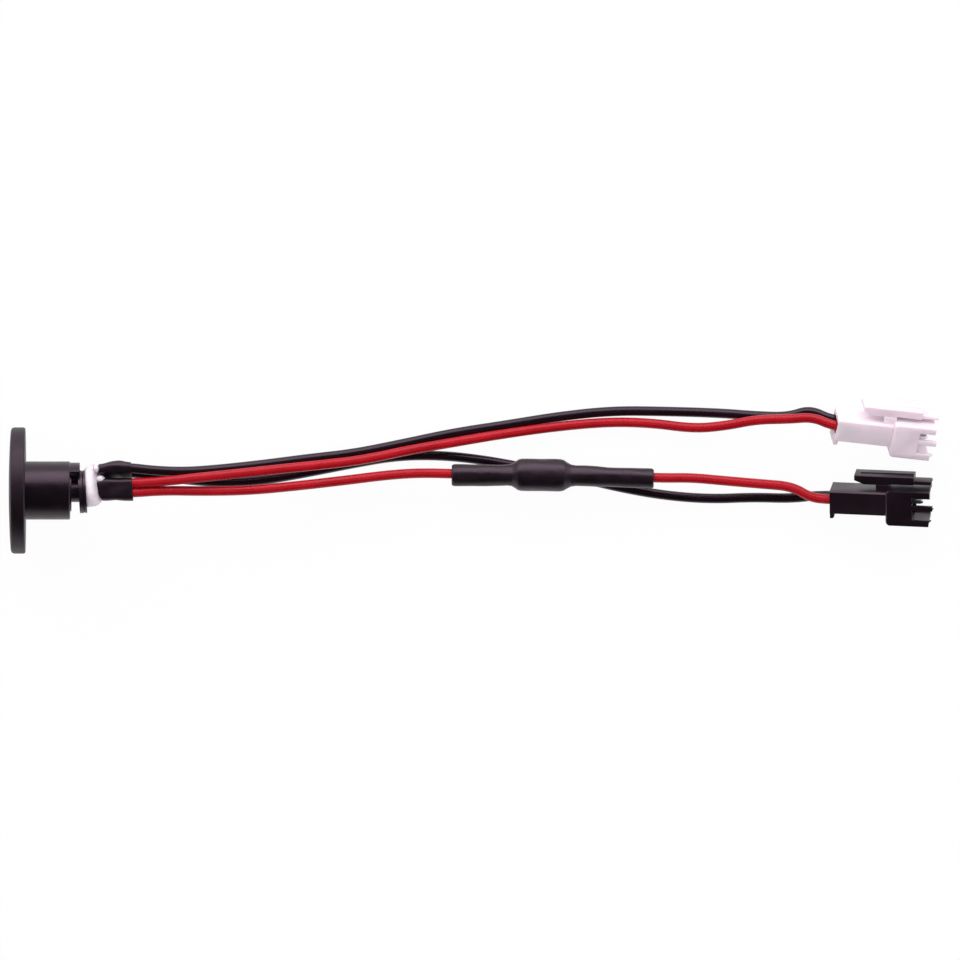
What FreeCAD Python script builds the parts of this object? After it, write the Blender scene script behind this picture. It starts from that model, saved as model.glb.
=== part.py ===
"""Panel-mount coaxial charging socket with its soldered leads.

A flanged plastic socket carries a coaxial contact set. Two pairs of leads are
soldered behind it, set in hot-melt glue and covered with heat-shrink sleeves.
One pair ends in a white 2-way housing. The other ends in a black one, and its
red lead passes through an axial diode under a long heat-shrink sleeve.

Frame: millimetres. The origin is the centre of the flange's back face, +X runs
along the barrel towards the leads, +Y is across and +Z is up. The whole set
lies on a flat surface at z = -FLANGE_R.
"""
import FreeCAD, Part
import math
import os

from FreeCAD import Placement, Rotation, Vector

# Socket shell: panel flange, barrel that passes through the panel, rear tab.
FLANGE_R = 13.0
FLANGE_T = 3.0
FLANGE_EDGE = 0.7
FLANGE_BACK_EDGE = 0.25
CROWN = 0.35
CROWN_SHOULDER = 0.17
CROWN_SHOULDER_R = 9.6
BARREL_R = 6.0
BARREL_L = 9.2
BARREL_EDGE = 0.2
BORE_R = 4.3
MOUTH_CHAMFER = 0.5
TAB_R = 5.75
TAB_L = 2.0
TAB_ANGLE = 95.0
TAB_ROOT = 0.5

# Insulating core that closes the bore and carries both contacts.
CORE_T = 2.6
CORE_SINK_R = 3.2
CORE_SINK = 0.8
CORE_PROUD = 0.27
NECK_R = 2.4
NECK_TOP = 4.1
NECK_HALF = 1.2
NECK_L = 1.8
NECK_SINK = 0.4
PLATE_R = 4.4
PLATE_T = 1.5
PLATE_DROP = 0.3
PLATE_LEAN = 3.0
PLATE_GROOVE_SET = 0.9
PLATE_GROOVE_DEPTH = 0.2
PLATE_GROOVE_W = 0.2

# Centre pin, from its tip inside the bore to its solder tail.
PIN_R = 1.0
PIN_TIP = 1.2
PIN_DOME = 0.7
PIN_FLAT_R = 0.45
PIN_COLLAR_R = 1.7
PIN_COLLAR_INSET = 0.6
PIN_TAIL_R = 0.75
PIN_TAIL_REACH = 1.6

# Outer spring contact and its solder lug.
SPRING_L = 5.0
SPRING_T = 0.3
SPRING_BEAD = 0.32
SPRING_BEAD_INSET = 1.3
SPRING_BEAD_HALF = 0.35
SPRING_BEAD_RAMP = 0.55
SPRING_SLOTS = 6
SPRING_SLOT_W = 0.7
SPRING_COLLAR = 1.3
LUG_T = 0.4
LUG_W = 2.2
LUG_INSET = 0.8
LUG_FOOT = 0.4
LUG_REACH = 2.0
LUG_EYE_R = 0.5
LUG_EYE_BACK = 0.9

# Leads: radius over the insulation, and where each one lies in its sleeve.
WIRE_R = 1.0
LEAD_SET = 2.7
JOINT_OVERLAP = 0.75
LEAD_SEATS = {
    "wire_black_a": (4.75, 0.75),
    "wire_black_b": (3.75, -1.2),
    "wire_red_a": (1.32, 0.3),
    "wire_red_b_in": (-0.7, 0.3),
}

# Heat-shrink sleeves over the pairs, and the glue lump behind the plate.
SHRINK_T = 0.3
SLEEVE_SET = 2.2
SLEEVE_SLANT = 14.0
SLEEVE_SLANT_SET = 0.45
BLACK_SLEEVE_L = 6.4
BLACK_BEND_INSET = 0.1
RED_SLEEVE_L = 7.4
RED_BEND_INSET = 0.5
TAPER_L = 3.9
TAPER_DROP = 1.1
GLUE_SECTIONS = (
    # behind the plate, across, half width, half height, lean
    (-0.5, 0.25, 4.2, 4.1, 3.0),
    (0.6, 0.6, 4.35, 4.25, 5.0),
    (1.7, 1.0, 4.15, 3.6, 8.0),
    (2.4, 1.25, 4.0, 2.2, 10.0),
    (3.1, 1.45, 3.5, 1.4, 13.0),
)

# Axial diode in the red lead of the black housing, under its own sleeve.
DIODE_R = 2.9
DIODE_L = 9.6
DIODE_CHAMFER = 0.3
DIODE_SET = 14.8
DIODE_START_X = 91.3
DIODE_START_Y = 3.3
DIODE_START_Z = -7.55
DIODE_END_X = 125.8
DIODE_END_Y = 2.78
DIODE_END_Z = -7.5
DIODE_LEAD_R = 0.6
SOLDER_R = 1.4
SOLDER_L = 5.6
SOLDER_NECK_R = 0.75
SLEEVE_T = 0.42
SLEEVE_TUBE_R = 2.16
SLEEVE_SHOULDER = 1.1
SLEEVE_LIP = 0.1
SLEEVE_LIP_L = 2.5
SLEEVE_OVERLAP = 3.55

# 2-way crimp housing: rear block, shroud around the pins, see-saw latch lever.
PITCH = 2.5
REAR_L = 11.7
REAR_H = 4.95
REAR_W = 5.9
REAR_CHAMFER = 0.35
FOOT_L = 0.85
FOOT_H = 1.15
FOOT_INSET = 0.4
FOOT_CHAMFER = 0.25
SHROUD_END = 21.0
SHROUD_W = 8.0
SHROUD_TOP = 3.25
SHROUD_BOTTOM = -4.2
SHROUD_WALL = 0.8
SHROUD_FLOOR = 1.5
SHROUD_TOE = 0.4
SLOT_LOW = 0.25
SLOT_HIGH = 1.95
SLOT_FRONT = 17.2
UPPER_PRONG_END = 20.4
LOWER_LIP_END = 20.2
LOWER_LIP_T = 0.95
LOWER_LIP_RAMP = 0.55
WINDOW_LOW = -2.85
WINDOW_HIGH = -0.75
POCKET_L = 3.2
POCKET_HALF = 1.35
CAVITY_W = 1.7
CAVITY_LOW = -1.05
CAVITY_HIGH = 0.85
CAVITY_START = 3.0
CAVITY_WALL = 0.6

LEVER_REAR = 4.97
LEVER_FRONT = 17.3
LEVER_TOP = 5.8
LEVER_REAR_T = 1.9
LEVER_FRONT_T = 1.7
LEVER_W = 4.0
LEVER_CHAMFER = 0.45
LEVER_TAIL_L = 2.0
LEVER_TAIL_T = 1.1
STEM_REAR = 9.5
STEM_FRONT = 12.1
STEM_W = 4.4
STEM_SHOULDER = 0.2
NOSE_L = 3.6
NOSE_SET = 1.05
NOSE_T = 0.7
NOSE_CHAMFER = 0.2
NOSE_INSET = 0.6
RIDGE_W = 0.7
RIDGE_H = 0.16
RIDGE_SET = 1.2

# Stamped contact: insulation grips, wire crimp, spring box and square pin.
GRIP_START = 1.3
GRIP_L = 1.2
GRIP_T = 0.2
GRIP_GAP = 0.9
GRIP_FLOOR_W = 0.8
CAVITY_END = 2.9
CRIMP_L = 2.1
CRIMP_HALF = 0.62
CRIMP_FOLD = 0.15
STRIP_LOW = -1.05
STRIP_T = 0.3
SPRING_BOX_START = 6.2
SPRING_BOX_SET = 1.6
SPRING_BOX_HALF = 0.8
CONTACT_PIN = 0.64
CONTACT_PIN_Y = 0.3
CONTACT_TIP = 19.2
CONTACT_TAPER_L = 0.6
CONTACT_TAPER = 0.2

# Poses of the two housings: the rear end's centre between the two cavities.
WHITE_X = 166.6
WHITE_Y = 13.85
WHITE_Z = -3.38
BLACK_X = 165.95
BLACK_Y = -1.44
BLACK_Z = -9.37
WHITE_POSE = Placement(Vector(WHITE_X, WHITE_Y, WHITE_Z), Rotation(-6.3, 12.0, 29.0))
BLACK_POSE = Placement(Vector(BLACK_X, BLACK_Y, BLACK_Z), Rotation(-2.4, -7.6, 20.0))

# Places that follow from the sizes above.
CORE_FRONT = BARREL_L - CORE_T
PLATE_X = BARREL_L + NECK_L
PLATE_BACK = PLATE_X + PLATE_T
SPRING_FRONT = CORE_FRONT - SPRING_L
LEAD_START = PLATE_BACK + LEAD_SET
SLEEVE_START = PLATE_BACK + SLEEVE_SET
BLACK_BEND = SLEEVE_START + BLACK_SLEEVE_L - BLACK_BEND_INSET
RED_BEND = SLEEVE_START + RED_SLEEVE_L - RED_BEND_INSET
DIODE_AXIS_START = Vector(DIODE_START_X, DIODE_START_Y, DIODE_START_Z)
DIODE_AXIS_END = Vector(DIODE_END_X, DIODE_END_Y, DIODE_END_Z)


def at_seat(name, x):
    """A point on a lead's line inside its sleeve at the socket."""
    across, up = LEAD_SEATS[name]
    return Vector(x, across, up)


def in_housing(pose, x, side):
    """A point on one cavity's axis, x behind the rear end; side is -1 or 1."""
    return pose.multVec(Vector(x, 0, side * PITCH / 2))


# Routes of the leads, from their joints at the socket to the housings.
ROUTES = {
    "wire_black_a": [
        at_seat("wire_black_a", LEAD_START), at_seat("wire_black_a", BLACK_BEND),
        Vector(26.9, 4.05, 0.2), Vector(33.3, 3.85, -0.85), Vector(40.5, 4.42, -2.3),
        Vector(49, 5.35, -4.1), Vector(58.5, 6.6, -6.1), Vector(67.5, 7.6, -7.8),
        Vector(77, 9.5, -9.4), Vector(88, 11.85, -10.9), Vector(99, 13.5, -11.75),
        Vector(110, 15.3, -11.98), Vector(121, 16.45, -11.8), Vector(132, 16.3, -11.1),
        Vector(143, 15.95, -9.6), Vector(150.5, 15.35, -8.1), Vector(157, 15.15, -6.5),
        Vector(161.5, 16.65, -5.1),
        in_housing(WHITE_POSE, -0.6, -1), in_housing(WHITE_POSE, CAVITY_END, -1),
    ],
    "wire_red_a": [
        at_seat("wire_red_a", LEAD_START), at_seat("wire_red_a", RED_BEND),
        Vector(28.4, 1.83, 0.6), Vector(35.6, 2.75, 0.5), Vector(44, 3.65, -0.9),
        Vector(53, 4.7, -2.85), Vector(62, 5.4, -4.85), Vector(70, 6.4, -6.55),
        Vector(79, 8.35, -8.05), Vector(88, 9.9, -9.35), Vector(98, 11.6, -10.4),
        Vector(109, 13.15, -11.25), Vector(120, 14.15, -11.5), Vector(129, 13.9, -10.8),
        Vector(137.5, 12.75, -9.4), Vector(144, 13.3, -7.7), Vector(150.5, 14.6, -5.85),
        Vector(157.2, 14.9, -4.1), Vector(161.9, 15.6, -2.8),
        in_housing(WHITE_POSE, -0.6, 1), in_housing(WHITE_POSE, CAVITY_END, 1),
    ],
    "wire_black_b": [
        at_seat("wire_black_b", LEAD_START), at_seat("wire_black_b", BLACK_BEND),
        Vector(27, 3.05, -1.9), Vector(33.6, 2.1, -3.1), Vector(41, 1.62, -4.7),
        Vector(49, 2.1, -6.6), Vector(58, 3.7, -8.6), Vector(67, 5.5, -10.3),
        Vector(76, 7.1, -11.4), Vector(85, 7.3, -11.85), Vector(94, 6.35, -11.97),
        Vector(104, 4.5, -11.97), Vector(114, 2.6, -11.97), Vector(124, 0.25, -11.9),
        Vector(133, -1.2, -11.8), Vector(141.5, -1.75, -11.7), Vector(150, -1.15, -11.5),
        Vector(157.8, -1.3, -11.3),
        in_housing(BLACK_POSE, -2.5, -1), in_housing(BLACK_POSE, CAVITY_END, -1),
    ],
    "wire_red_b_in": [
        at_seat("wire_red_b_in", LEAD_START), at_seat("wire_red_b_in", RED_BEND),
        Vector(28.4, -0.17, 0.15), Vector(36.4, -0.15, -0.35), Vector(46, 0.0, -1.6),
        Vector(56, 0.95, -3.5), Vector(66, 2.1, -5.4), Vector(75, 3.25, -6.8),
        Vector(83, 3.7, -7.45), DIODE_AXIS_START,
    ],
    "wire_red_b_out": [
        DIODE_AXIS_END, Vector(131.3, 2.55, -7.7), Vector(137, 2.65, -7.9),
        Vector(144, 2.05, -8.3), Vector(151, 1.15, -8.6), Vector(157, 0.5, -8.55),
        Vector(161.1, -1.6, -8.5),
        in_housing(BLACK_POSE, -0.7, 1), in_housing(BLACK_POSE, CAVITY_END, 1),
    ],
}


# Small helpers
def box(x0, x1, y0, y1, z0, z1):
    """A box between two corners."""
    corner = Vector(x0, y0, z0)
    return Part.makeBox(x1 - x0, y1 - y0, z1 - z0, corner)


def rod(radius, x0, x1, y=0.0, z=0.0):
    """A round rod along X."""
    return Part.makeCylinder(radius, x1 - x0, Vector(x0, y, z), Vector(1, 0, 0))


def turned(profile):
    """A solid turned about the X axis from (x, radius) points."""
    points = [Vector(x, r, 0) for x, r in profile]
    face = Part.Face(Part.makePolygon(points + points[:1]))
    return face.revolve(Vector(0, 0, 0), Vector(1, 0, 0), 360)


def prism(outline, z0, z1):
    """A plate whose (x, y) outline is drawn out along Z."""
    points = [Vector(x, y, z0) for x, y in outline]
    face = Part.Face(Part.makePolygon(points + points[:1]))
    return face.extrude(Vector(0, 0, z1 - z0))


def edges_near(shape, test):
    """The edges whose centre passes a test."""
    return [edge for edge in shape.Edges if test(edge.CenterOfMass)]


def cord(points, radius):
    """A round cord along straight runs joined by tangent arcs.

    Each arc takes 45 % of the shorter run beside its corner. Returns the solid,
    the arc radii and the length of the centre line.
    """
    edges = []
    radii = []
    start = points[0]
    for before, corner, after in zip(points, points[1:], points[2:]):
        run_in = corner - before
        run_out = after - corner
        turn = run_in.getAngle(run_out)
        reach = 0.45 * min(run_in.Length, run_out.Length)
        way_in = Vector(run_in).normalize()
        way_out = Vector(run_out).normalize()
        arc_start = corner - way_in * reach
        arc_end = corner + way_out * reach
        arc_radius = reach / math.tan(turn / 2)
        inward = (way_out - way_in).normalize()
        rise = arc_radius / math.cos(turn / 2) - arc_radius
        middle = corner + inward * rise
        edges.append(Part.LineSegment(start, arc_start).toShape())
        edges.append(Part.Arc(arc_start, middle, arc_end).toShape())
        radii.append(arc_radius)
        start = arc_end
    edges.append(Part.LineSegment(start, points[-1]).toShape())
    path = Part.Wire(edges)
    first = (points[1] - points[0]).normalize()
    ring = Part.Wire(Part.makeCircle(radius, points[0], first))
    return path.makePipeShell([ring], True, False), radii, path.Length


def hull_of_two(a, b, radius, x0, x1):
    """A rod with a stadium section: the hull of two rods along X."""
    span = b - a
    side = span.cross(Vector(1, 0, 0)).normalize() * radius
    corners = [a + side, b + side, b - side, a - side]
    points = [Vector(x0, p.y, p.z) for p in corners]
    face = Part.Face(Part.makePolygon(points + points[:1]))
    web = face.extrude(Vector(x1 - x0, 0, 0))
    end_a = rod(radius, x0, x1, a.y, a.z)
    end_b = rod(radius, x0, x1, b.y, b.z)
    return web.fuse([end_a, end_b]).removeSplitter()


# The socket
def make_port_shell():
    """Flange, barrel and rear tab in one black moulding."""
    front = -FLANGE_T
    crown = front - CROWN
    step = FLANGE_EDGE * (1 - math.sqrt(0.5))
    shell = turned([
        (0, BORE_R), (crown + MOUTH_CHAMFER, BORE_R), (crown, BORE_R + MOUTH_CHAMFER),
        (crown + CROWN_SHOULDER, CROWN_SHOULDER_R), (front, FLANGE_R - FLANGE_EDGE),
        (front + step, FLANGE_R - step), (front + FLANGE_EDGE, FLANGE_R),
        (-FLANGE_BACK_EDGE, FLANGE_R), (0, FLANGE_R - FLANGE_BACK_EDGE), (0, BARREL_R),
        (BARREL_L - BARREL_EDGE, BARREL_R), (BARREL_L, BARREL_R - BARREL_EDGE),
        (BARREL_L, BORE_R),
    ])
    tab_start = BARREL_L - TAB_ROOT
    tab_end = BARREL_L + TAB_L
    ring = rod(TAB_R, tab_start, tab_end).cut(rod(BORE_R, tab_start, tab_end))
    half = math.radians(TAB_ANGLE / 2)
    reach = 2 * BARREL_R
    wedge_points = [
        Vector(0, 0, 0),
        Vector(0, reach * math.cos(half), reach * math.sin(half)),
        Vector(0, reach * math.cos(half), -reach * math.sin(half)),
    ]
    wedge_face = Part.Face(Part.makePolygon(wedge_points + wedge_points[:1]))
    wedge = wedge_face.extrude(Vector(2 * tab_end, 0, 0))
    return shell.fuse(ring.common(wedge)).removeSplitter()


def leaning(shape):
    """Leans the rear plate so that its lower end stands further back."""
    centre = Vector(PLATE_X, 0, 0)
    turned_shape = shape.copy()
    turned_shape.rotate(centre, Vector(0, 0, 1), PLATE_LEAN)
    return turned_shape


def make_core(pin, spring):
    """Insulator: plug in the bore, neck behind the barrel and rear plate."""
    plug = rod(BORE_R, CORE_FRONT, BARREL_L + CORE_PROUD)
    neck_end = PLATE_X + NECK_SINK
    neck = rod(NECK_R, BARREL_L, neck_end)
    rib = box(BARREL_L, neck_end, 0, NECK_TOP, -NECK_HALF, NECK_HALF)
    plate = rod(PLATE_R, PLATE_X, PLATE_BACK)
    middle = PLATE_X + PLATE_GROOVE_SET
    half = PLATE_GROOVE_W / 2
    groove = turned([
        (middle - half, PLATE_R + half), (middle - half, PLATE_R),
        (middle, PLATE_R - PLATE_GROOVE_DEPTH), (middle + half, PLATE_R),
        (middle + half, PLATE_R + half),
    ])
    plate = plate.cut(groove)
    plate.translate(Vector(0, -PLATE_DROP, 0))
    plate = leaning(plate)
    sink = rod(CORE_SINK_R, CORE_FRONT, CORE_FRONT + CORE_SINK)
    body = plug.fuse([neck, rib, plate]).cut(sink)
    return body.cut(pin).cut(spring).removeSplitter()


def make_centre_pin():
    """Turned pin with a domed tip, a collar in the core and a solder tail."""
    collar_start = CORE_FRONT + CORE_SINK
    collar_end = BARREL_L - PIN_COLLAR_INSET
    tail = PLATE_BACK + PIN_TAIL_REACH
    dome_mid = PIN_TIP + 0.2 * PIN_DOME
    return turned([
        (PIN_TIP, 0), (PIN_TIP, PIN_FLAT_R), (dome_mid, 0.75 * PIN_R),
        (PIN_TIP + PIN_DOME, PIN_R), (collar_start, PIN_R), (collar_start, PIN_COLLAR_R),
        (collar_end, PIN_COLLAR_R), (collar_end, PIN_TAIL_R), (tail, PIN_TAIL_R), (tail, 0),
    ])


def make_outer_contact():
    """Rolled spring sleeve with an inward bead, slots, and its solder lug."""
    inner = BORE_R - SPRING_T
    bead = SPRING_FRONT + SPRING_BEAD_INSET
    crest = SPRING_BEAD_HALF
    foot = SPRING_BEAD_HALF + SPRING_BEAD_RAMP
    sleeve = turned([
        (SPRING_FRONT, BORE_R), (CORE_FRONT, BORE_R), (CORE_FRONT, inner),
        (bead + foot, inner), (bead + crest, inner - SPRING_BEAD),
        (bead - crest, inner - SPRING_BEAD), (bead - foot, inner), (SPRING_FRONT, inner),
    ])
    half = SPRING_SLOT_W / 2
    slot_end = CORE_FRONT - SPRING_COLLAR
    slots = []
    for index in range(SPRING_SLOTS):
        slot = box(SPRING_FRONT - 1, slot_end, inner - 1, BORE_R + 1, -half, half)
        angle = 360.0 / SPRING_SLOTS * (index + 0.5)
        slot.rotate(Vector(0, 0, 0), Vector(1, 0, 0), angle)
        slots.append(slot)
    sleeve = sleeve.cut(slots[0].multiFuse(slots[1:]))
    top = BORE_R - LUG_INSET
    low = top - LUG_T
    root = CORE_FRONT - LUG_FOOT
    tail = PLATE_BACK + LUG_REACH
    strip = box(root, tail, low, top, -LUG_W / 2, LUG_W / 2)
    foot = box(root, CORE_FRONT, low, BORE_R - SPRING_T / 2, -LUG_W / 2, LUG_W / 2)
    eye_centre = Vector(tail - LUG_EYE_BACK, low - 1, 0)
    eye = Part.makeCylinder(LUG_EYE_R, LUG_T + 2, eye_centre, Vector(0, 1, 0))
    return sleeve.fuse([strip, foot]).cut(eye).removeSplitter()


# Joints at the socket
def make_joint(names, tail_centre):
    """Solder and twisted strands between a contact's tail and two lead ends."""
    middle = (at_seat(names[0], 0) + at_seat(names[1], 0)) * 0.5
    start = PLATE_BACK + PIN_TAIL_REACH - JOINT_OVERLAP
    return hull_of_two(middle, tail_centre, WIRE_R, start, LEAD_START)


def make_pair_sleeve(names, length, tapered):
    """Heat-shrink over two leads, with a slanted rear end."""
    upper = at_seat(names[0], 0)
    lower = at_seat(names[1], 0)
    radius = WIRE_R + SHRINK_T
    body = hull_of_two(upper, lower, radius, SLEEVE_START, SLEEVE_START + length)
    far = 3 * radius
    if tapered:
        top = upper.y + radius
        wedge = prism([
            (SLEEVE_START - 1, top + 1), (SLEEVE_START - 1, top - TAPER_DROP),
            (SLEEVE_START + 0.4 * TAPER_L, top - 0.45 * TAPER_DROP),
            (SLEEVE_START + TAPER_L, top), (SLEEVE_START + TAPER_L + 0.5, top + 1),
        ], -far, far)
        body = body.cut(wedge)
    slant = box(-radius, 0, -far, far, -far, far)
    slant.rotate(Vector(0, 0, 0), Vector(0, 0, 1), SLEEVE_SLANT)
    slant.translate(Vector(SLEEVE_START + SLEEVE_SLANT_SET, lower.y, 0))
    return body.cut(slant)


def make_glue(cutters):
    """Hot-melt lump from the rear plate over the ends of the sleeves."""
    sections = []
    for behind, across, half_y, half_z, lean in GLUE_SECTIONS:
        oval = Part.Ellipse(Vector(0, 0, 0), max(half_y, half_z), min(half_y, half_z))
        ring = Part.Wire(oval.toShape())
        ring.rotate(Vector(0, 0, 0), Vector(0, 0, 1), 90)
        ring.rotate(Vector(0, 0, 0), Vector(0, 1, 0), 90)
        ring.rotate(Vector(0, 0, 0), Vector(0, 0, 1), lean)
        ring.translate(Vector(PLATE_BACK + behind, across, 0))
        sections.append(ring)
    lump = Part.makeLoft(sections, True, True)
    return lump.cut(cutters[0].multiFuse(cutters[1:]))


# The diode
def along_diode(shape):
    """Places a piece modelled along +X at the start of the diode's axis."""
    span = DIODE_AXIS_END - DIODE_AXIS_START
    placed = shape.copy()
    turn = Rotation(Vector(1, 0, 0), span)
    placed.Placement = Placement(DIODE_AXIS_START, turn)
    return placed


def make_diode():
    """Body, two leads and two solder joints on one axis between the lead ends."""
    length = (DIODE_AXIS_END - DIODE_AXIS_START).Length
    body_start = DIODE_SET - DIODE_L / 2
    body_end = DIODE_SET + DIODE_L / 2
    body = rod(DIODE_R, body_start, body_end)
    body = body.makeChamfer(DIODE_CHAMFER, [
        edge for edge in body.Edges if edge.Curve.TypeId == "Part::GeomCircle"])
    joint_profile = [
        (0, DIODE_LEAD_R), (0, WIRE_R), (0.25 * SOLDER_L, SOLDER_R),
        (0.7 * SOLDER_L, SOLDER_R), (SOLDER_L, SOLDER_NECK_R), (SOLDER_L, DIODE_LEAD_R),
    ]
    pieces = {
        "diode_body": body,
        "diode_lead_in": rod(DIODE_LEAD_R, 0, body_start),
        "diode_lead_out": rod(DIODE_LEAD_R, body_end, length),
        "solder_in": turned(joint_profile),
        "solder_out": turned([(length - x, r) for x, r in joint_profile]),
    }
    return {name: along_diode(piece) for name, piece in pieces.items()}


def make_diode_sleeve():
    """Heat-shrink tube drawn down over the diode, flared beside its body."""
    length = (DIODE_AXIS_END - DIODE_AXIS_START).Length
    start = -SLEEVE_OVERLAP
    end = length + SLEEVE_OVERLAP
    body_in = DIODE_SET - DIODE_L / 2
    body_out = DIODE_SET + DIODE_L / 2
    bulge = DIODE_R + SLEEVE_T
    tube = SLEEVE_TUBE_R
    bore = tube - SLEEVE_T
    shoulder = SLEEVE_SHOULDER
    outer = [
        (start, tube + SLEEVE_LIP), (start + SLEEVE_LIP_L, tube), (body_in - shoulder, tube),
        (body_in, bulge), (body_out, bulge), (body_out + shoulder, tube), (end, tube),
    ]
    inner = [
        (end, bore), (body_out + shoulder, bore), (body_out, DIODE_R - DIODE_CHAMFER),
        (body_out - DIODE_CHAMFER, DIODE_R), (body_in + DIODE_CHAMFER, DIODE_R),
        (body_in, DIODE_R - DIODE_CHAMFER), (body_in - shoulder, bore), (start, bore),
    ]
    return along_diode(turned(outer + inner))


# The crimp housings
def make_lever():
    """See-saw latch lever on its stem, with a hook nose at the front."""
    top = LEVER_TOP
    half = LEVER_W / 2
    rear_low = top - LEVER_REAR_T
    front_low = top - LEVER_FRONT_T
    step_low = rear_low - STEM_SHOULDER
    bar = prism([
        (LEVER_REAR, top), (LEVER_REAR, top - LEVER_TAIL_T),
        (LEVER_REAR + LEVER_TAIL_L, rear_low), (STEM_REAR, rear_low), (STEM_REAR, step_low),
        (STEM_FRONT, step_low), (STEM_FRONT, front_low), (LEVER_FRONT, front_low),
        (LEVER_FRONT, top),
    ], -half, half)
    bar = bar.makeChamfer(LEVER_CHAMFER, edges_near(
        bar, lambda centre: centre.y > top - 0.01 and abs(centre.z) > half - 0.01))
    stem_low = REAR_H / 2 - STEM_SHOULDER
    stem = box(STEM_REAR, STEM_FRONT, stem_low, rear_low, -STEM_W / 2, STEM_W / 2)
    nose_top = top - NOSE_SET
    nose_low = nose_top - NOSE_T
    nose_root = LEVER_FRONT - NOSE_CHAMFER
    nose_end = LEVER_FRONT + NOSE_L
    nose = prism([
        (nose_root, nose_low), (nose_end - NOSE_CHAMFER, nose_low),
        (nose_end, nose_low + NOSE_CHAMFER), (nose_end, nose_top - NOSE_CHAMFER),
        (nose_end - NOSE_CHAMFER, nose_top), (nose_root, nose_top),
    ], -half + NOSE_INSET, half - NOSE_INSET)
    ridge_start = LEVER_REAR + RIDGE_SET
    ridge_end = LEVER_FRONT - RIDGE_H
    ridge = box(ridge_start, ridge_end, top - RIDGE_H, top + RIDGE_H, -RIDGE_W / 2, RIDGE_W / 2)
    return bar.fuse([stem, nose, ridge])


def make_shroud():
    """Side outline of the shroud, with the slots at its mouth, drawn out in width."""
    half = SHROUD_W / 2
    lip_top = SHROUD_BOTTOM + LOWER_LIP_T
    return prism([
        (REAR_L, SHROUD_BOTTOM + SHROUD_TOE), (REAR_L + SHROUD_TOE, SHROUD_BOTTOM),
        (LOWER_LIP_END, SHROUD_BOTTOM), (LOWER_LIP_END, lip_top),
        (SHROUD_END, lip_top + LOWER_LIP_RAMP), (SHROUD_END, SLOT_LOW), (SLOT_FRONT, SLOT_LOW),
        (SLOT_FRONT, SLOT_HIGH), (UPPER_PRONG_END, SLOT_HIGH), (UPPER_PRONG_END, SHROUD_TOP),
        (REAR_L + SHROUD_TOE, SHROUD_TOP), (REAR_L, SHROUD_TOP - SHROUD_TOE),
    ], -half, half)


def make_housing():
    """2-way housing at its own origin, lever towards +Y, mouth towards +X."""
    half_rear = REAR_H / 2
    side = REAR_W / 2
    rear = box(0, REAR_L + SHROUD_TOE, -half_rear, half_rear, -side, side)
    rear = rear.makeChamfer(REAR_CHAMFER, edges_near(
        rear, lambda centre: centre.y > half_rear - 0.01 and abs(centre.z) > side - 0.01))
    foot_low = -half_rear - FOOT_H
    foot = prism([
        (0, -half_rear), (0, foot_low), (FOOT_L - FOOT_CHAMFER, foot_low),
        (FOOT_L, foot_low + FOOT_CHAMFER), (FOOT_L, -half_rear),
    ], -side + FOOT_INSET, side - FOOT_INSET)
    body = rear.fuse([foot, make_shroud()])

    half_w = SHROUD_W / 2
    mouth = SHROUD_END + 1
    inner = half_w - SHROUD_WALL
    cutters = [box(
        REAR_L + SHROUD_FLOOR, mouth, SHROUD_BOTTOM + SHROUD_WALL, SHROUD_TOP - SHROUD_WALL,
        -inner, inner,
    )]
    cutters.append(box(SLOT_FRONT, mouth, WINDOW_LOW, WINDOW_HIGH, -half_w - 1, half_w + 1))
    body = body.cut(cutters[0].multiFuse(cutters[1:]))
    body = body.fuse(make_lever())

    pocket = POCKET_HALF
    cutters = [box(-1, POCKET_L, -pocket, pocket, -PITCH / 2 - pocket, PITCH / 2 + pocket)]
    half = CAVITY_W / 2
    pin = CONTACT_PIN / 2
    low = CONTACT_PIN_Y - pin
    high = CONTACT_PIN_Y + pin
    cavity_end = REAR_L - CAVITY_WALL
    for middle in (-PITCH / 2, PITCH / 2):
        cutters.append(box(
            CAVITY_START, cavity_end, CAVITY_LOW, CAVITY_HIGH, middle - half, middle + half))
        cutters.append(box(
            cavity_end - 1, REAR_L + SHROUD_FLOOR + 1, low, high, middle - pin, middle + pin))
    return body.cut(cutters[0].multiFuse(cutters[1:])).removeSplitter()


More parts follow.
